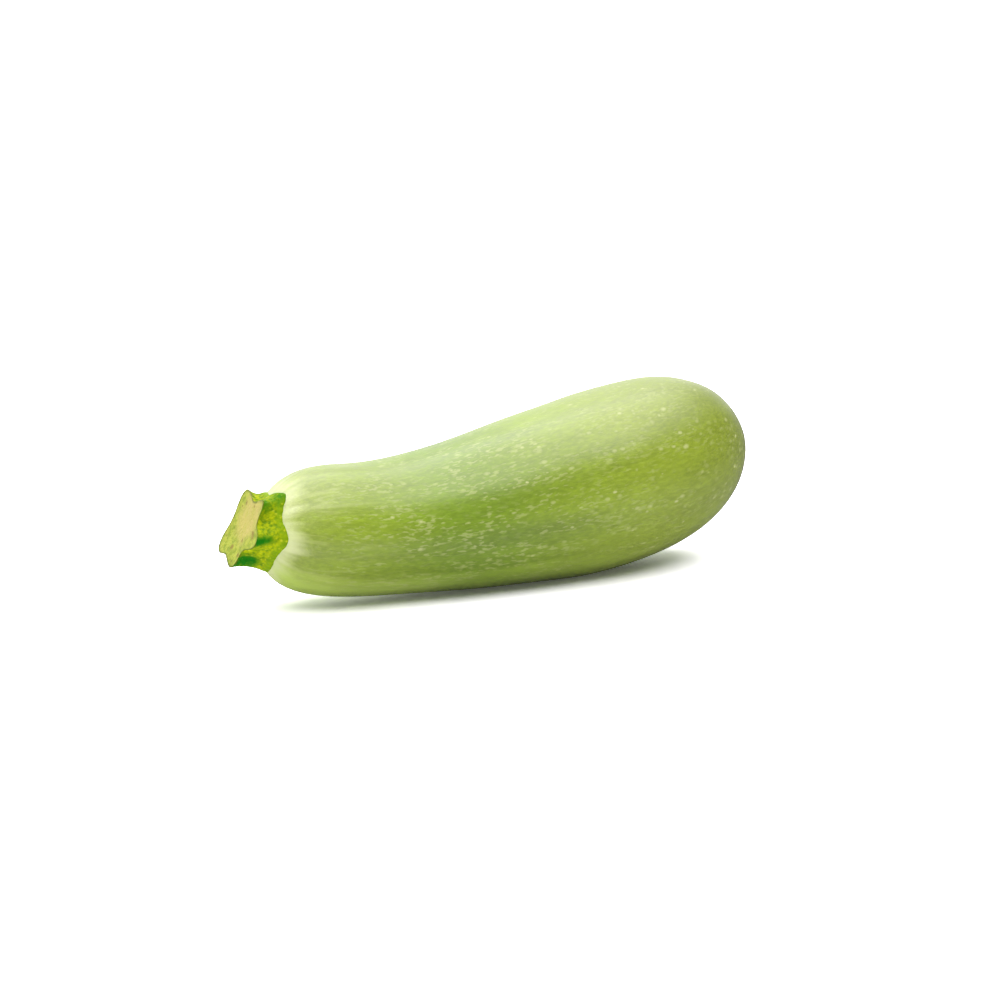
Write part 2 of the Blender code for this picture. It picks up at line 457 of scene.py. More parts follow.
class Graph:
    """Adds nodes to a shader tree and links them."""

    def __init__(self, tree: bpy.types.NodeTree) -> None:
        """Keeps the tree, and counts the nodes so that they stand in rows."""
        self.tree = tree
        self.count = 0

    def add(self, kind: str, inputs: dict[Any, Any] | None = None, **settings: Any) -> Node:
        """Adds a node.

        Args:
            kind: The node's type, without the words ShaderNode in front.
            inputs: What each input gets, by name or number: a socket to link, or a value.
            settings: The node's own settings.

        Returns:
            The node.
        """
        node = self.tree.nodes.new("ShaderNode" + kind)
        node.location = (180 * (self.count % 12), -260 * (self.count // 12))
        self.count += 1
        for name, value in settings.items():
            setattr(node, name, value)
        for name, value in (inputs or {}).items():
            if isinstance(value, Socket):
                self.tree.links.new(value, node.inputs[name])
            else:
                node.inputs[name].default_value = value
        return node

    def group(self, made: bpy.types.NodeTree, inputs: dict[str, Any]) -> Socket:
        """The first output of a placed node group."""
        return self.add("Group", inputs, node_tree=made).outputs[0]

    def attribute(self, place: Place) -> Node:
        """A point attribute of the mesh."""
        return self.add("Attribute", attribute_name=place.value, attribute_type="GEOMETRY")

    def math(self, operation: str, *terms: Any) -> Socket:
        """The result of an operation on one to three terms."""
        return self.add("Math", dict(enumerate(terms)), operation=operation).outputs[0]

    def vector_math(self, operation: str, *terms: Any) -> Socket:
        """The result of an operation on vectors."""
        return self.add("VectorMath", dict(enumerate(terms)), operation=operation).outputs[0]

    def scaled(self, vector: Any, scale: Any) -> Socket:
        """A vector or a colour times a value."""
        return self.add("VectorMath", {0: vector, "Scale": scale}, operation="SCALE").outputs[0]

    def centred(self, value: Any) -> Socket:
        """A value from 0 to 1, moved to run from -0.5 to 0.5."""
        return self.math("SUBTRACT", value, 0.5)

    def chain(self, operation: str, first: Any, *others: Any) -> Socket:
        """The result of an operation on the first two values, then on that and the next, and so on.

        Args:
            operation: The operation's name.
            first: A value or a socket.
            others: The values or sockets that follow.

        Returns:
            The result's socket.
        """
        for other in others:
            first = self.math(operation, first, other)
        return first

    def times(self, *factors: Any) -> Socket:
        """The product of two or more values."""
        return self.chain("MULTIPLY", *factors)

    def total(self, start: Any, *parts: tuple[Any, float]) -> Socket:
        """A sum of weighted values.

        Args:
            start: The value or socket that the sum starts from.
            parts: What is added to it: each a value or socket, and its weight.

        Returns:
            The sum's socket.
        """
        for value, weight in parts:
            start = self.math("MULTIPLY_ADD", value, weight, start)
        return start

    def step(self, value: Any, low: Any, high: Any, to_low: float = 0.0, to_high: float = 1.0) -> Socket:
        """A smooth step of a value, from to_low where it is low to to_high where it is high."""
        inputs = {"Value": value, "From Min": low, "From Max": high, "To Min": to_low, "To Max": to_high}
        return self.add("MapRange", inputs, interpolation_type="SMOOTHSTEP").outputs[0]

    def mix(self, share: Any, low: Any, high: Any) -> Socket:
        """A colour between two, with numbers for the inputs of the node's colour form."""
        return self.add("Mix", {0: share, 6: low, 7: high}, data_type="RGBA", clamp_factor=True).outputs[2]

    def ramp(self, value: Any, stops: tuple[tuple[float, Colour], ...]) -> Socket:
        """A colour that goes from stop to stop as a value goes from 0 to 1.

        Args:
            value: The socket with the value.
            stops: Each stop's place and colour, in order.

        Returns:
            The colour's socket.
        """
        node = self.add("ValToRGB", {0: value})
        elements = node.color_ramp.elements
        while len(elements) < len(stops):
            elements.new(0.5)
        for element, (place, colour) in zip(elements, stops):
            element.position = place
            element.color = colour
        return node.outputs[0]


class Effects:
    """The shader groups that the finishes share, and the ways to place them."""

    least: float = 0.4  # the smallest and the faintest fleck, as a share of the largest and the strongest
    noise_range: tuple[float, float] = (0.25, 0.75)  # noise hardly ever leaves it

    def __init__(self) -> None:
        """Builds the groups."""
        self.fleck_group = self.make_flecks()
        self.cloud_group = self.make_clouds()
        self.streak_group = self.make_streaks()

    @staticmethod
    def start(name: str, *values: str) -> tuple[Graph, Node, Node]:
        """Starts a group that takes a Place and more values, and gives a Mask.

        Args:
            name: The group's name.
            values: The names of its inputs after Place.

        Returns:
            The group's graph, and its input and output nodes.
        """
        tree = bpy.data.node_groups.new(name, "ShaderNodeTree")
        tree.interface.new_socket(name="Place", in_out="INPUT", socket_type="NodeSocketVector")
        for value in values:
            tree.interface.new_socket(name=value, in_out="INPUT", socket_type="NodeSocketFloat")
        tree.interface.new_socket(name="Mask", in_out="OUTPUT", socket_type="NodeSocketFloat")
        return Graph(tree), tree.nodes.new("NodeGroupInput"), tree.nodes.new("NodeGroupOutput")

    @staticmethod
    def counted(graph: Graph, place: Socket, size: Socket, length: Socket) -> Socket:
        """A place counted in cells that are longer along the fruit than across it.

        Args:
            graph: The group's graph.
            place: The place as a distance.
            size: How wide a cell is.
            length: How many times as long.

        Returns:
            The counted place's socket.
        """
        across = graph.math("DIVIDE", 1.0, size)
        along = graph.math("DIVIDE", across, length)
        scale = graph.add("CombineXYZ", {0: across, 1: across, 2: along}).outputs[0]
        return graph.vector_math("MULTIPLY", place, scale)

    def make_flecks(self) -> bpy.types.NodeTree:
        """Soft spots, one at most in each cell.

        Returns:
            The group. Radius is a share of the cell, Soft the part of the radius over which a spot
            fades out, and Share that of the cells with a spot.
        """
        graph, given, result = self.start("flecks", "Cell", "Length", "Radius", "Soft", "Share")
        place, cell, length, radius, soft, share = given.outputs[:6]
        counted = self.counted(graph, place, cell, length)
        cells = graph.add("TexVoronoi", {"Vector": counted, "Scale": 1.0})
        drawn = graph.add("SeparateColor", {0: cells.outputs["Color"]}).outputs
        edge = graph.times(radius, graph.total(self.least, (drawn[0], 1 - self.least)))
        core = graph.times(edge, graph.math("SUBTRACT", 1.0, soft))
        spot = graph.step(cells.outputs["Distance"], edge, core)
        there = graph.math("LESS_THAN", drawn[1], share)
        strength = graph.total(self.least, (drawn[2], 1 - self.least))
        graph.tree.links.new(graph.times(spot, there, strength), result.inputs["Mask"])
        return graph.tree

    def make_clouds(self) -> bpy.types.NodeTree:
        """Soft clouds from 0 to 1.

        Returns:
            The group. Length is how many times as long as wide the clouds are.
        """
        graph, given, result = self.start("clouds", "Size", "Length", "Detail")
        place, size, length, detail = given.outputs[:4]
        counted = self.counted(graph, place, size, length)
        noise = graph.add("TexNoise", {"Vector": counted, "Scale": 1.0, "Detail": detail}).outputs[0]
        graph.tree.links.new(graph.step(noise, *self.noise_range), result.inputs["Mask"])
        return graph.tree

    def make_streaks(self) -> bpy.types.NodeTree:
        """Thin lines that run lengthwise.

        Returns:
            The group. Length is in spacings, and Thin is the share left between the lines.
        """
        graph, given, result = self.start("streaks", "Spacing", "Length", "Thin")
        place, spacing, length, thin = given.outputs[:4]
        counted = self.counted(graph, place, spacing, length)
        noise = graph.add("TexNoise", {"Vector": counted, "Scale": 1.0, "Detail": 1.0}).outputs[0]
        off = graph.math("ABSOLUTE", graph.centred(noise))
        line = graph.step(off, graph.math("SUBTRACT", 1.0, thin), 0.0)
        graph.tree.links.new(line, result.inputs["Mask"])
        return graph.tree

    def flecks(self, graph: Graph, place: Socket, cell: float, radius: Any, share: Any,
               length: float = 1.0, soft: float = 0.7) -> Socket:
        """Places soft spots.

        Args:
            graph: The material's graph.
            place: The place as a distance.
            cell: The width of a cell, which holds one spot at most.
            radius: The largest spot's radius, as a share of the cell.
            share: The share of the cells with a spot.
            length: How many times as long as wide a spot is.
            soft: The part of the radius over which a spot fades out.

        Returns:
            The spots' mask.
        """
        return graph.group(self.fleck_group, {
            "Place": place, "Cell": cell, "Length": length, "Radius": radius, "Soft": soft, "Share": share})

    def clouds(self, graph: Graph, place: Socket, size: float, length: float = 1.0,
               detail: float = 2.0) -> Socket:
        """Places soft clouds.

        Args:
            graph: The material's graph.
            place: The place as a distance.
            size: How wide the clouds are.
            length: How many times as long.
            detail: How many finer layers they have.

        Returns:
            The clouds' mask.
        """
        return graph.group(self.cloud_group, {
            "Place": place, "Size": size, "Length": length, "Detail": detail})

    def streaks(self, graph: Graph, place: Socket, spacing: float, length: float, thin: float) -> Socket:
        """Places thin lengthwise lines.

        Args:
            graph: The material's graph.
            place: The place as a distance.
            spacing: The way from line to line.
            length: How long the lines are, in spacings.
            thin: The share left between them.

        Returns:
            The lines' mask.
        """
        return graph.group(self.streak_group, {
            "Place": place, "Spacing": spacing, "Length": length, "Thin": thin})


def new_material(name: str) -> tuple[bpy.types.Material, Graph, Node]:
    """A material with its graph and its Principled shader.

    Args:
        name: The material's name.

    Returns:
        The material, its graph and its shader.
    """
    material = bpy.data.materials.new(name)
    material.use_nodes = True
    material.node_tree.nodes.clear()
    graph = Graph(material.node_tree)
    shader = graph.add("BsdfPrincipled")
    graph.add("OutputMaterial", {"Surface": shader.outputs[0]})
    return material, graph, shader


@dataclass(frozen=True)
class Relief:
    """How strongly a finish's fine relief shows, and how deep it is."""

    strength: float
    depth: float

    def dress(self, graph: Graph, shader: Node, colour: Socket, rough: Socket, height: Socket) -> None:
        """Feeds a finish into its shader.

        Args:
            graph: The material's graph.
            shader: Its Principled shader.
            colour: The finish's colour.
            rough: Its roughness.
            height: Its relief, from 0 to about 1.
        """
        bump = graph.add("Bump", {"Strength": self.strength, "Distance": self.depth, "Height": height})
        graph.tree.links.new(colour, shader.inputs["Base Color"])
        graph.tree.links.new(rough, shader.inputs["Roughness"])
        graph.tree.links.new(bump.outputs[0], shader.inputs["Normal"])


@dataclass(frozen=True)
class SkinFinish:
    """The waxy skin: whitish round the stem, deepening to green along the neck, with flecks in loose rows."""

    effects: Effects
    skin_length: float  # along the skin, from the stem's pole to the blossom end's
    tones: tuple[tuple[float, Colour], ...] = (  # along the skin from the stem's pole, in mm
        (9, (0.38, 0.43, 0.18, 1)),
        (12, (0.27, 0.33, 0.075, 1)),
        (15, (0.180, 0.243, 0.022, 1)),
        (20, (0.176, 0.248, 0.010, 1)),
        (27, (0.170, 0.246, 0.006, 1)),
        # the dip from 36 to 58 mm is partly the skin's own darker band, partly painted shade
        (36, (0.150, 0.228, 0.002, 1)),
        (48, (0.126, 0.209, 0.001, 1)),
        (58, (0.125, 0.205, 0.001, 1)),
        (75, (0.155, 0.230, 0.004, 1)),
        # from here the tones darken towards the blossom end: partly the skin's own colour, partly painted
        # shade
        (95, (0.178, 0.245, 0.008, 1)),
        (118, (0.160, 0.215, 0.009, 1)),
        (135, (0.126, 0.167, 0.008, 1)),
        (150, (0.112, 0.137, 0.010, 1)),
    )
    tone_shift: float = 5 * MM  # how far the bands move the tones along the skin
    shade: float = 0.76  # what a tone is multiplied by where it is darkest
    cloud_shade: float = 0.16  # and what each pattern adds to that
    band_shade: float = 0.18
    grain_shade: float = 0.24
    scratch_shade: float = 0.12
    underside_bounce: Colour = (0.40, 0.53, 0.10, 1)  # painted bounce light from the floor: paler low down
    fleck: Colour = (0.42, 0.46, 0.18, 1)
    fleck_strength: float = 0.85
    fleck_wander: float = 0.35 * MM  # how far the flecks' outlines stray
    fleck_waves: float = 1.0 * MM
    line: Colour = (0.34, 0.40, 0.10, 1)
    line_strength: float = 0.40
    collar_pale: Colour = (0.51, 0.57, 0.27, 1)
    scar: Colour = (0.25, 0.22, 0.085, 1)
    scar_strength: float = 0.8
    scar_radius: float = 2.2 * MM  # of the brown ring in the blossom scar
    roughness: float = 0.36  # where the wax is smoothest
    relief: Relief = Relief(0.45, 0.06 * MM)
    coat: float = 0.6
    coat_roughness: float = 0.36
    glow: float = 0.08  # the share of the light that goes under the skin
    glow_reach: tuple[float, float, float] = (1.0, 1.2, 0.3)  # how far it goes there, in glow_depth
    glow_depth: float = 1.0 * MM

    def toned(self, graph: Graph, reach: Socket, bands: Socket, shade: Socket) -> Socket:
        """The green of the skin from end to end.

        Args:
            graph: The material's graph.
            reach: The way from the stem's pole.
            bands: The mask of the long bands.
            shade: What the tones are multiplied by.

        Returns:
            The colour's socket.
        """
        stops = tuple((along * MM / self.skin_length, colour) for along, colour in self.tones)
        along = graph.total(reach, (graph.centred(bands), self.tone_shift))
        return graph.scaled(graph.ramp(graph.math("DIVIDE", along, self.skin_length), stops), shade)

    def painted_bounce(self, graph: Graph, height: Socket, reach: Socket, bands: Socket) -> Socket:
        """Where the skin is painted paler for bounce light from the floor: low down, and most of all on the
        neck.

        Args:
            graph: The material's graph.
            height: The height over the middle line, on a fruit of one girth.
            reach: The way from the stem's pole.
            bands: The mask of the long bands.

        Returns:
            The mask's socket.
        """
        low = graph.step(graph.total(height, (bands, -2 * MM)), -8 * MM, -14 * MM)
        return graph.times(low, graph.step(reach, 62 * MM, 30 * MM, 0.25, 0.75))

    def dots(self, graph: Graph, place: Socket, girth: Socket, reach: Socket) -> Socket:
        """The flecks: short dashes on the neck, rounder and denser towards the blossom end.

        Args:
            graph: The material's graph.
            place: The skin's true distances.
            girth: The same at one girth.
            reach: The way from the stem's pole.

        Returns:
            The mask's socket.
        """
        effects = self.effects
        noise = graph.add("TexNoise", {"Vector": place, "Scale": 1 / self.fleck_waves, "Detail": 1.0})
        stray = graph.vector_math("SUBTRACT", noise.outputs["Color"], (0.5, 0.5, 0.5))
        strayed = graph.vector_math("ADD", place, graph.scaled(stray, self.fleck_wander))
        near_tip = graph.step(reach, 60 * MM, 125 * MM)
        rounder = graph.step(reach, 55 * MM, 100 * MM)
        longer = graph.total(1.0, (rounder, -0.5))
        radius, share = graph.total(0.32, (near_tip, 0.08)), graph.total(0.55, (near_tip, 0.45))
        big = effects.flecks(graph, strayed, cell=2.0 * MM, radius=radius, share=share, length=1.6)
        small = effects.flecks(graph, strayed, cell=1.05 * MM, radius=0.40, share=0.65, length=2.4)
        soft = effects.flecks(graph, strayed, cell=2.1 * MM, radius=0.46, share=0.9, length=1.2, soft=1.0)
        fine = effects.clouds(graph, strayed, size=0.5 * MM, length=4.0, detail=1.0)
        rows = effects.clouds(graph, girth, size=3.0 * MM, length=4.0, detail=1.0)
        dashes = graph.step(fine, 0.60, 0.95)
        crowd = graph.step(rows, 0.2, 0.7, 0.25, 1.05)
        mask = graph.chain(
            "MAXIMUM", big, graph.times(small, 0.75, longer), graph.times(soft, 0.8, rounder),
            graph.times(dashes, 0.45, longer))
        return graph.times(mask, crowd, graph.step(reach, 12 * MM, 30 * MM, 0.15, 1.0))

    def lines(self, graph: Graph, girth: Socket, reach: Socket) -> Socket:
        """The pale lines that run out from the stem over the shoulder.

        Args:
            graph: The material's graph.
            girth: The place at one girth.
            reach: The way from the stem's pole.

        Returns:
            The mask's socket.
        """
        lines = self.effects.streaks(graph, girth, spacing=2.2 * MM, length=9.0, thin=0.93)
        near = graph.step(reach, 40 * MM, 14 * MM)
        some = graph.step(self.effects.clouds(graph, girth, size=5 * MM, length=2.0, detail=0.0), 0.35, 0.75)
        return graph.times(lines, near, some, self.line_strength)

    def ringed(self, graph: Graph, collar: Socket, height: Socket, bands: Socket) -> Socket:
        """The pale ring round the stem, fainter on top.

        Args:
            graph: The material's graph.
            collar: The way from the edge of the stem's collar.
            height: The height over the middle line, on a fruit of one girth.
            bands: The mask of the long bands.

        Returns:
            The mask's socket.
        """
        near = graph.step(graph.total(collar, (bands, 3 * MM)), 7.0 * MM, 0.5 * MM)
        return graph.times(near, graph.step(height, 2 * MM, 13 * MM, 0.9, 0.45))

    def scarred(self, graph: Graph, reach: Socket) -> Socket:
        """The brown ring in the blossom scar.

        Args:
            graph: The material's graph.
            reach: The way from the stem's pole.

        Returns:
            The mask's socket.
        """
        to_pole = graph.math("SUBTRACT", self.skin_length, reach)
        off_ring = graph.math("ABSOLUTE", graph.math("SUBTRACT", to_pole, self.scar_radius))
        return graph.times(graph.step(off_ring, self.scar_radius, 0.4 * MM), self.scar_strength)

    def make(self) -> bpy.types.Material:
        """Makes the material.

        Returns:
            The waxy skin.
        """
        material, graph, shader = new_material("waxy_skin")
        effects = self.effects
        place = graph.attribute(Place.SKIN).outputs["Vector"]
        girth = graph.attribute(Place.GIRTH).outputs["Vector"]
        collar = graph.attribute(Place.COLLAR).outputs["Fac"]
        height, _, reach = graph.add("SeparateXYZ", {0: girth}).outputs

        clouds = effects.clouds(graph, place, size=13 * MM, length=2.0)
        bands = effects.clouds(graph, girth, size=3.4 * MM, length=10.0)
        grain = effects.clouds(graph, place, size=0.6 * MM, length=3.0)
        pores = effects.clouds(graph, place, size=0.35 * MM, length=1.3)
        scratches = effects.streaks(graph, place, spacing=0.8 * MM, length=5.0, thin=0.94)
        dots = self.dots(graph, place, girth, reach)

        shade = graph.total(self.shade, (clouds, self.cloud_shade), (bands, self.band_shade),
                            (grain, self.grain_shade), (scratches, self.scratch_shade))
        colour = self.toned(graph, reach, bands, shade)
        # painted bounce light: the skin is paler low down, most of all on the neck
        colour = graph.mix(self.painted_bounce(graph, height, reach, bands), colour, self.underside_bounce)
        colour = graph.mix(graph.times(dots, self.fleck_strength), colour, self.fleck)
        colour = graph.mix(self.lines(graph, girth, reach), colour, self.line)
        colour = graph.mix(self.ringed(graph, collar, height, bands), colour, self.collar_pale)
        colour = graph.mix(self.scarred(graph, reach), colour, self.scar)
        rough = graph.total(self.roughness, (grain, 0.10), (dots, 0.08))
        relief = graph.total(0.0, (grain, 0.5), (pores, 0.35), (dots, 0.7), (scratches, 0.4))
        self.relief.dress(graph, shader, colour, rough, relief)
        shader.inputs["Coat Weight"].default_value = self.coat
        shader.inputs["Coat Roughness"].default_value = self.coat_roughness
        shader.inputs["Subsurface Weight"].default_value = self.glow
        shader.inputs["Subsurface Radius"].default_value = self.glow_reach
        shader.inputs["Subsurface Scale"].default_value = self.glow_depth
        return material


@dataclass(frozen=True)
class StemFinish:
    """The stub's side: yellow-green, dotted with pale glands, with a dark stripe along each ridge."""

    effects: Effects
    light: Colour = (0.32, 0.38, 0.001, 1)
    deep: Colour = (0.10, 0.19, 0.001, 1)
    stripe: Colour = (0.006, 0.14, 0.001, 1)
    gland: Colour = (0.44, 0.48, 0.02, 1)
    dry: Colour = (0.10, 0.10, 0.005, 1)
    collar: Colour = (0.14, 0.25, 0.001, 1)
    roughness: float = 0.47
    relief: Relief = Relief(0.7, 0.15 * MM)
    refraction: float = 1.15  # the side hardly shines in the photograph

    def make(self) -> bpy.types.Material:
        """Makes the material.

        Returns:
            The stub's side.
        """
        material, graph, shader = new_material("stem_side")
        place = graph.add("TexCoord").outputs["Object"]
        stripe = graph.attribute(Place.STRIPE).outputs["Fac"]
        reach = graph.attribute(Place.REACH).outputs["Fac"]
        clouds = self.effects.clouds(graph, place, size=2.0 * MM)
        grain = self.effects.clouds(graph, place, size=0.8 * MM)
        glands = self.effects.flecks(graph, place, cell=1.1 * MM, radius=0.44, share=0.9)

        colour = graph.mix(graph.total(-0.25, (clouds, 0.5), (grain, 1.0)), self.deep, self.light)
        colour = graph.mix(graph.step(reach, 0.18, 0.0, 0.0, 0.7), colour, self.collar)
        dark = graph.step(graph.total(stripe, (graph.centred(clouds), 0.45)), 0.05, 1.05)
        colour = graph.mix(dark, colour, self.stripe)
        colour = graph.mix(graph.times(glands, graph.total(0.85, (dark, -0.70))), colour, self.gland)
        rim = graph.times(graph.step(reach, 0.90, 1.0), graph.step(grain, 0.15, 0.7), 0.8)
        colour = graph.mix(rim, colour, self.dry)
        rough = graph.total(self.roughness, (grain, 0.15))
        self.relief.dress(graph, shader, colour, rough, graph.total(grain, (glands, 0.8)))
        shader.inputs["IOR"].default_value = self.refraction
        return material


@dataclass(frozen=True)
class CutFinish:
    """The cut across the stub: dry tan pith, greener in the lobes, with brown spots."""

    effects: Effects
    pith: Colour = (0.40, 0.34, 0.095, 1)
    flesh: Colour = (0.33, 0.33, 0.055, 1)
    lobe: Colour = (0.30, 0.35, 0.030, 1)
    deep_lobe: Colour = (0.17, 0.24, 0.006, 1)
    brown: Colour = (0.15, 0.09, 0.012, 1)
    edge: Colour = (0.08, 0.11, 0.008, 1)
    roughness: float = 0.7
    relief: Relief = Relief(0.7, 0.2 * MM)
    shine: float = 0.3

    def make(self) -> bpy.types.Material:
        """Makes the material.

        Returns:
            The cut.
        """
        material, graph, shader = new_material("stem_cut")
        place = graph.add("TexCoord").outputs["Object"]
        reach = graph.attribute(Place.REACH).outputs["Fac"]
        spread = graph.attribute(Place.SPREAD).outputs["Fac"]
        blot = graph.attribute(Place.BLOT).outputs["Fac"]
        clouds = self.effects.clouds(graph, place, size=3.0 * MM)
        grain = self.effects.clouds(graph, place, size=0.7 * MM, detail=3.0)
        patches = self.effects.clouds(graph, place, size=1.4 * MM, detail=3.0)
        specks = self.effects.flecks(graph, place, cell=1.5 * MM, radius=0.36, share=0.6)

        colour = graph.mix(graph.total(0.0, (clouds, 0.8), (grain, 0.35)), self.flesh, self.pith)
        lobes = graph.step(graph.total(spread, (clouds, 2.4 * MM)), 5.0 * MM, 8.5 * MM)
        green = graph.mix(graph.step(patches, 0.15, 0.8), self.deep_lobe, self.lobe)
        colour = graph.mix(graph.times(lobes, 0.9), colour, green)
        blots = graph.step(graph.total(blot, (graph.centred(patches), 0.7)), 0.35, 0.95)
        colour = graph.mix(graph.times(blots, 0.75), colour, self.brown)
        colour = graph.mix(graph.times(specks, graph.step(reach, 0.25, 0.65), 0.7), colour, self.brown)
        edge = graph.times(graph.step(reach, 0.90, 0.99), graph.step(grain, 0.0, 0.5), 0.85)
        colour = graph.mix(edge, colour, self.edge)
        rough = graph.total(self.roughness, (grain, 0.1))
        self.relief.dress(graph, shader, colour, rough, graph.total(grain, (specks, -0.8)))
        shader.inputs["Specular IOR Level"].default_value = self.shine
        return material


@dataclass
class Fruit:
    """The whole fruit, in one fine skin in place of the frame's."""

    effects: Effects
    form: FruitForm = field(default_factory=FruitForm)
    stem: StemForm = field(default_factory=StemForm)
    sides: int = 256
    ring_count: int = 330
    even_share: float = 0.6  # of the ring spacing; the rest draws the rings together at the ends
    samples: int = 4000
    collar_within: float = 1 / 3  # of the shoulder's depth: the stem's collar stands on this part

    def along_skin(self) -> tuple[Array, Array, Array]:
        """Where the rings stand.

        Returns:
            Their places on the middle line, their radii, and the way along the skin from the stem's pole.
        """
        s = np.linspace(0, self.form.length, self.samples)
        radius = self.form.trunk_radius(s) * self.form.end_taper(s)
        walked = np.concatenate([[0], np.cumsum(np.hypot(np.diff(s), np.diff(radius)))])
        share = np.arange(1, self.ring_count) / self.ring_count
        share = self.even_share * share + (1 - self.even_share) * (1 - np.cos(np.pi * share)) / 2
        ways = share * walked[-1]
        return np.interp(ways, walked, s), np.interp(ways, walked, radius), ways

    def build(self) -> bpy.types.Object:
        """Builds the fruit, dresses it and sets it riding on the frame.

        Returns:
            The fruit.
        """
        form = self.form
        girth = np.linspace(0, 2 * np.pi, self.sides, endpoint=False)
        places, radii, ways = self.along_skin()
        points = form.skin(places[:, None], girth[None, :])
        points[..., 2] = np.maximum(points[..., 2], 0)  # the flat that it rests on
        shoulder = places < form.shoulder_depth * self.collar_within
        collar = np.interp(self.stem.radii(girth)[0], radii[shoulder], ways[shoulder])
        turned = np.stack([np.cos(girth), np.sin(girth)], axis=-1)
        skin = RingSkin("fruit_skin")
        for ring, s, radius, way in zip(points, places, radii, ways):
            skin.add(ring, {
                Place.SKIN: np.insert(turned * radius, 2, s, axis=-1),
                Place.GIRTH: np.insert(turned * form.neck_radius, 2, way, axis=-1),
                Place.COLLAR: way - collar,
            })
        ends = form.skin(np.array([0.0, form.length]), np.zeros(2))
        fruit = skin.make((ends[0], ends[1]))
        fruit.data.materials.append(SkinFinish(self.effects, float(ways[-1])).make())
        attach(fruit, Body.WHOLE.value)
        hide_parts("fruit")
        return fruit


@dataclass
class Stem:
    """The stub of the cut stem, in place of the frame's."""

    effects: Effects
    form: StemForm = field(default_factory=StemForm)
    stripes: tuple[tuple[float, ...], ...] = (  # girth angle, half width, strength, the reach where it fades
        (32 * DEGREE, 20 * DEGREE, 0.60, -0.9, 0.1),
        (94 * DEGREE, 9 * DEGREE, 1.0, 0.05, 0.75),
        (153 * DEGREE, 16 * DEGREE, 1.0, 0.0, 0.6),
        (238 * DEGREE, 11 * DEGREE, 0.9, 0.05, 0.75),
        (314 * DEGREE, 12 * DEGREE, 0.8, -0.5, 0.5),
    )
    lip_bulge: float = 0.12 * MM
    lip_turns: tuple[int, ...] = (9, 16, 29)  # the lip is thicker here and thinner there
    pith_up: float = 3.3 * MM  # how far the pith is off the cut's middle, towards the top
    blots: tuple[tuple[float, float, float], ...] = (  # brown spots of the cut: towards the top, aside, size
        (0.3 * MM, 5.6 * MM, 1.3 * MM), (-2.1 * MM, 0.8 * MM, 0.6 * MM), (-4.4 * MM, -3.0 * MM, 0.9 * MM),
        (-5.2 * MM, 2.2 * MM, 0.8 * MM), (5.6 * MM, -5.0 * MM, 0.7 * MM),
    )
    sides: int = 320
    cut_rings: int = 26
    side_rings: int = 34
    lip_rings: int = 6
    root_rings: int = 4

    def stripe(self, girth: Array, reach: float) -> Array:
        """How dark the stripes along the ridges are.

        Args:
            girth: Girth angles.
            reach: The ring's reach.

        Returns:
            The darkness at each angle, from 0 to 1.
        """
        dark = np.zeros_like(girth)
        for angle, width, strength, low, high in self.stripes:
            off = (girth - angle + np.pi) % (2 * np.pi) - np.pi
            fade = ease((reach - low) / (high - low))
            dark = np.maximum(dark, strength * np.exp(-((off / width) ** 2)) * fade)
        return dark

    def values(self, girth: Array, reach: float) -> dict[Place, Array]:
        """What each attribute is on a ring.

        Args:
            girth: Girth angles.
            reach: The ring's reach.

        Returns:
            The attributes' values.
        """
        radius = self.form.radii(girth)[1] * reach
        top, aside = radius * np.cos(girth), radius * np.sin(girth)
        off = [((top - up) ** 2 + (aside - over) ** 2) / size**2 for up, over, size in self.blots]
        return {
            Place.STRIPE: self.stripe(girth, reach), Place.REACH: np.full(self.sides, reach),
            Place.SPREAD: np.hypot(top - self.pith_up, aside), Place.BLOT: np.exp(-np.min(off, axis=0)),
        }

    def rings(self, girth: Array) -> Iterator[tuple[Array, float, StubFace]]:
        """The rings from the cut's middle over its rim, down the side and round the lip to the root.

        Args:
            girth: Girth angles.

        Yields:
            Each ring's points, its reach, and the material from it to the next ring.
        """
        form = self.form
        for i in range(1, self.cut_rings + 1):
            share = i / self.cut_rings
            yield form.cut_point(share, girth), share, StubFace.CUT if share < 1 else StubFace.SIDE
        for i in range(self.side_rings - 1, -1, -1):
            share = i / self.side_rings
            yield form.side(share, girth), share, StubFace.SIDE
        collar = form.radii(girth)[0]
        uneven = 1 + sum(np.cos(turn * girth + turn) for turn in self.lip_turns) / len(self.lip_turns)
        for i in range(1, self.lip_rings + 1):
            share = i / self.lip_rings
            clear = form.collar_lip - (form.collar_lip + form.root_depth) * share
            lip = collar + self.lip_bulge * uneven * math.sin(math.pi * share)
            yield form.on_shoulder(lip, girth, clear), 0.0, StubFace.SIDE
        for i in range(self.root_rings - 1, 0, -1):
            yield form.on_shoulder(collar * i / self.root_rings, girth, -form.root_depth), 0.0, StubFace.SIDE

    def build(self) -> bpy.types.Object:
        """Builds the stub, dresses it and sets it riding on the frame.

        Returns:
            The stub.
        """
        girth = np.linspace(0, 2 * np.pi, self.sides, endpoint=False)
        skin = RingSkin("stem_stub")
        for ring, reach, face in self.rings(girth):
            skin.add(ring, self.values(girth, reach), face.value)
        middle_of_cut = self.form.cut_point(0, girth[:1])[0]
        root = self.form.on_shoulder(np.zeros(1), girth[:1], -self.form.root_depth)[0]
        stem = skin.make((middle_of_cut, root))
        stem.data.materials.append(StemFinish(self.effects).make())
        stem.data.materials.append(CutFinish(self.effects).make())
        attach(stem, Body.WHOLE.value)
        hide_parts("stem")
        return stem


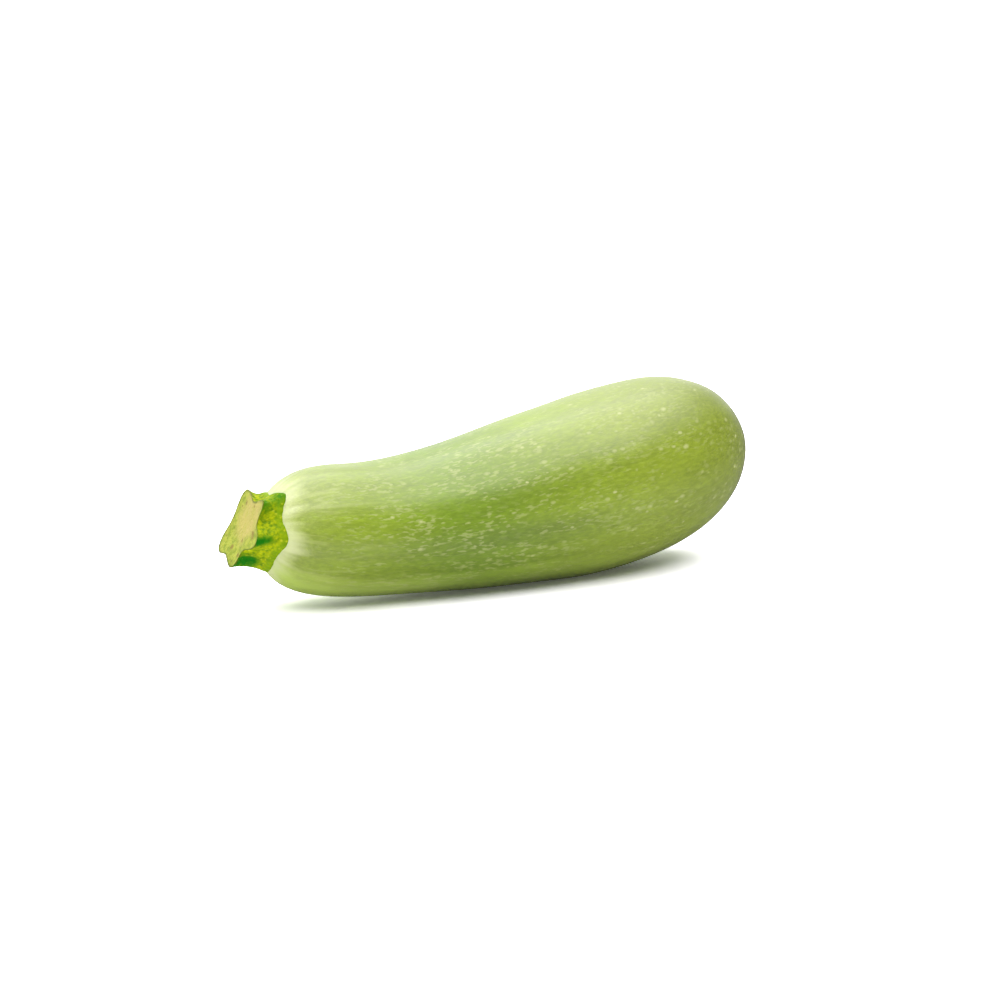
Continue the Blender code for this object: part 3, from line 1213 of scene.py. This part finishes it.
@dataclass
class Studio:
    """A pale floor, one wide soft light overhead, and the camera at the photograph's angle."""

    turn: float = 32 * DEGREE  # the camera stands this far round from -Y, towards the stem end
    pitch: float = 12 * DEGREE
    distance: float = 0.70
    looks_at: tuple[float, float, float] = (-13.71 * MM, 1.36 * MM, 18.71 * MM)
    focal_length: float = 111.38
    nearest: float = 0.01  # the camera sees nothing that is nearer
    farthest: float = 50.0  # or farther
    floor_size: float = 12.0
    floor_gap: float = 0.05 * MM  # between the floor and the flat that the fruit lies on
    floor_seen: Colour = (1.36, 1.36, 1.48, 1)  # the photograph's white is over-exposed
    floor_bounce: float = 1.00
    floor_mirrored: float = 0.10  # the wax hardly mirrors the floor in the photograph
    floor_glow: float = 0.05  # light that comes through the floor into the shadow
    floor_roughness: float = 0.9
    floor_shine: float = 0.1
    room_behind: float = 1.35
    room_in_front: float = 0.10
    room_left: float = 0.8  # how far the bright side of the room is turned to the left
    room_up: float = 0.35  # and up
    room_fade: float = 0.75  # the room is brightest where the cosine to that side is over this
    light: float = 5.6
    light_colour: tuple[float, float, float] = (1.0, 0.955, 0.975)
    light_spread: float = 92 * DEGREE
    light_away: float = 0.06  # how far the light's beam leans away from the camera

    def axes(self) -> tuple[Vector, Vector]:
        """The level directions away from the camera and to its right."""
        away = Vector((math.sin(self.turn), math.cos(self.turn), 0))
        return away, away.cross(Vector((0, 0, 1)))

    def camera(self) -> bpy.types.Object:
        """Makes the camera and sets it as the scene's.

        Returns:
            The camera.
        """
        data = bpy.data.cameras.new("camera")
        data.lens = self.focal_length
        data.clip_start = self.nearest
        data.clip_end = self.farthest
        camera = bpy.data.objects.new("camera", data)
        direction = self.axes()[0] * math.cos(self.pitch) - Vector((0, 0, math.sin(self.pitch)))
        camera.location = Vector(self.looks_at) - direction * self.distance
        camera.rotation_euler = direction.to_track_quat("-Z", "Y").to_euler()
        bpy.context.scene.collection.objects.link(camera)
        bpy.context.scene.camera = camera
        return camera

    def floor(self) -> bpy.types.Object:
        """Makes the floor and marks it as no part of the object.

        Returns:
            The floor.
        """
        half = self.floor_size / 2
        mesh = bpy.data.meshes.new("floor")
        corners = [(-half, -half, 0), (half, -half, 0), (half, half, 0), (-half, half, 0)]
        mesh.from_pydata(corners, [], [(0, 1, 2, 3)])
        material, graph, shader = new_material("pale_floor")
        bounce, mirrored = ((grey, grey, grey, 1) for grey in (self.floor_bounce, self.floor_mirrored))
        ray = graph.add("LightPath").outputs
        colour = graph.mix(ray["Is Glossy Ray"], bounce, mirrored)
        colour = graph.mix(ray["Is Camera Ray"], colour, self.floor_seen)
        graph.tree.links.new(colour, shader.inputs["Base Color"])
        shader.inputs["Roughness"].default_value = self.floor_roughness
        shader.inputs["Specular IOR Level"].default_value = self.floor_shine
        shader.inputs["Emission Color"].default_value = WHITE
        shader.inputs["Emission Strength"].default_value = self.floor_glow
        mesh.materials.append(material)
        floor = bpy.data.objects.new("floor", mesh)
        floor.location.z = -self.floor_gap
        bpy.context.scene.collection.objects.link(floor)
        floor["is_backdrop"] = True
        return floor

    def room(self) -> None:
        """The room: white to the camera, and dimmer in front of the fruit and to its right."""
        world = bpy.data.worlds.new("studio")
        bpy.context.scene.world = world
        world.use_nodes = True
        world.node_tree.nodes.clear()
        graph = Graph(world.node_tree)
        away, right = self.axes()
        outward = graph.add("TexCoord").outputs["Generated"]
        bright = (away - right * self.room_left + Vector((0, 0, self.room_up))).normalized()
        facing = graph.add("VectorMath", {0: outward, 1: bright}, operation="DOT_PRODUCT").outputs["Value"]
        strength = graph.step(facing, 0.0, self.room_fade, self.room_in_front, self.room_behind)
        light = graph.add("Background", {"Color": WHITE, "Strength": strength})
        seen = graph.add("Background", {"Color": WHITE, "Strength": 1.0})
        ray = graph.add("LightPath").outputs["Is Camera Ray"]
        both = graph.add("MixShader", {0: ray, 1: light.outputs[0], 2: seen.outputs[0]})
        graph.add("OutputWorld", {"Surface": both.outputs[0]})

    def overhead(self) -> bpy.types.Object:
        """Makes the wide soft light.

        Returns:
            The light.
        """
        data = bpy.data.lights.new("overhead", "SUN")
        data.energy = self.light
        data.color = self.light_colour
        data.angle = self.light_spread
        light = bpy.data.objects.new("overhead", data)
        beam = self.axes()[0] * self.light_away - Vector((0, 0, 1))
        light.rotation_euler = beam.to_track_quat("-Z", "Y").to_euler()
        bpy.context.scene.collection.objects.link(light)
        return light

    def build(self) -> None:
        """Sets the whole studio."""
        self.camera()
        self.floor()
        self.room()
        self.overhead()
        bpy.context.scene.view_settings.view_transform = "Standard"


def write_sizes() -> None:
    """Makes a JSON text of the frame's box and the dressed part's box, as plain lists; the text is not kept.
    """
    boxes = {"cad": CAD_BOX, "visual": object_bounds()}
    json.dumps({name: [list(corner) for corner in box] for name, box in boxes.items()})


def main() -> None:
    """Builds the studio and the part, and reports each piece."""
    logging.basicConfig(level=logging.INFO, format="%(name)s: %(message)s")
    Studio().build()
    effects = Effects()
    for part in (Fruit(effects), Stem(effects)):
        made = part.build()
        log.info("%s: %d points, %d faces", made.name, len(made.data.vertices), len(made.data.polygons))
    write_sizes()


if __name__ == "__main__":
    main()
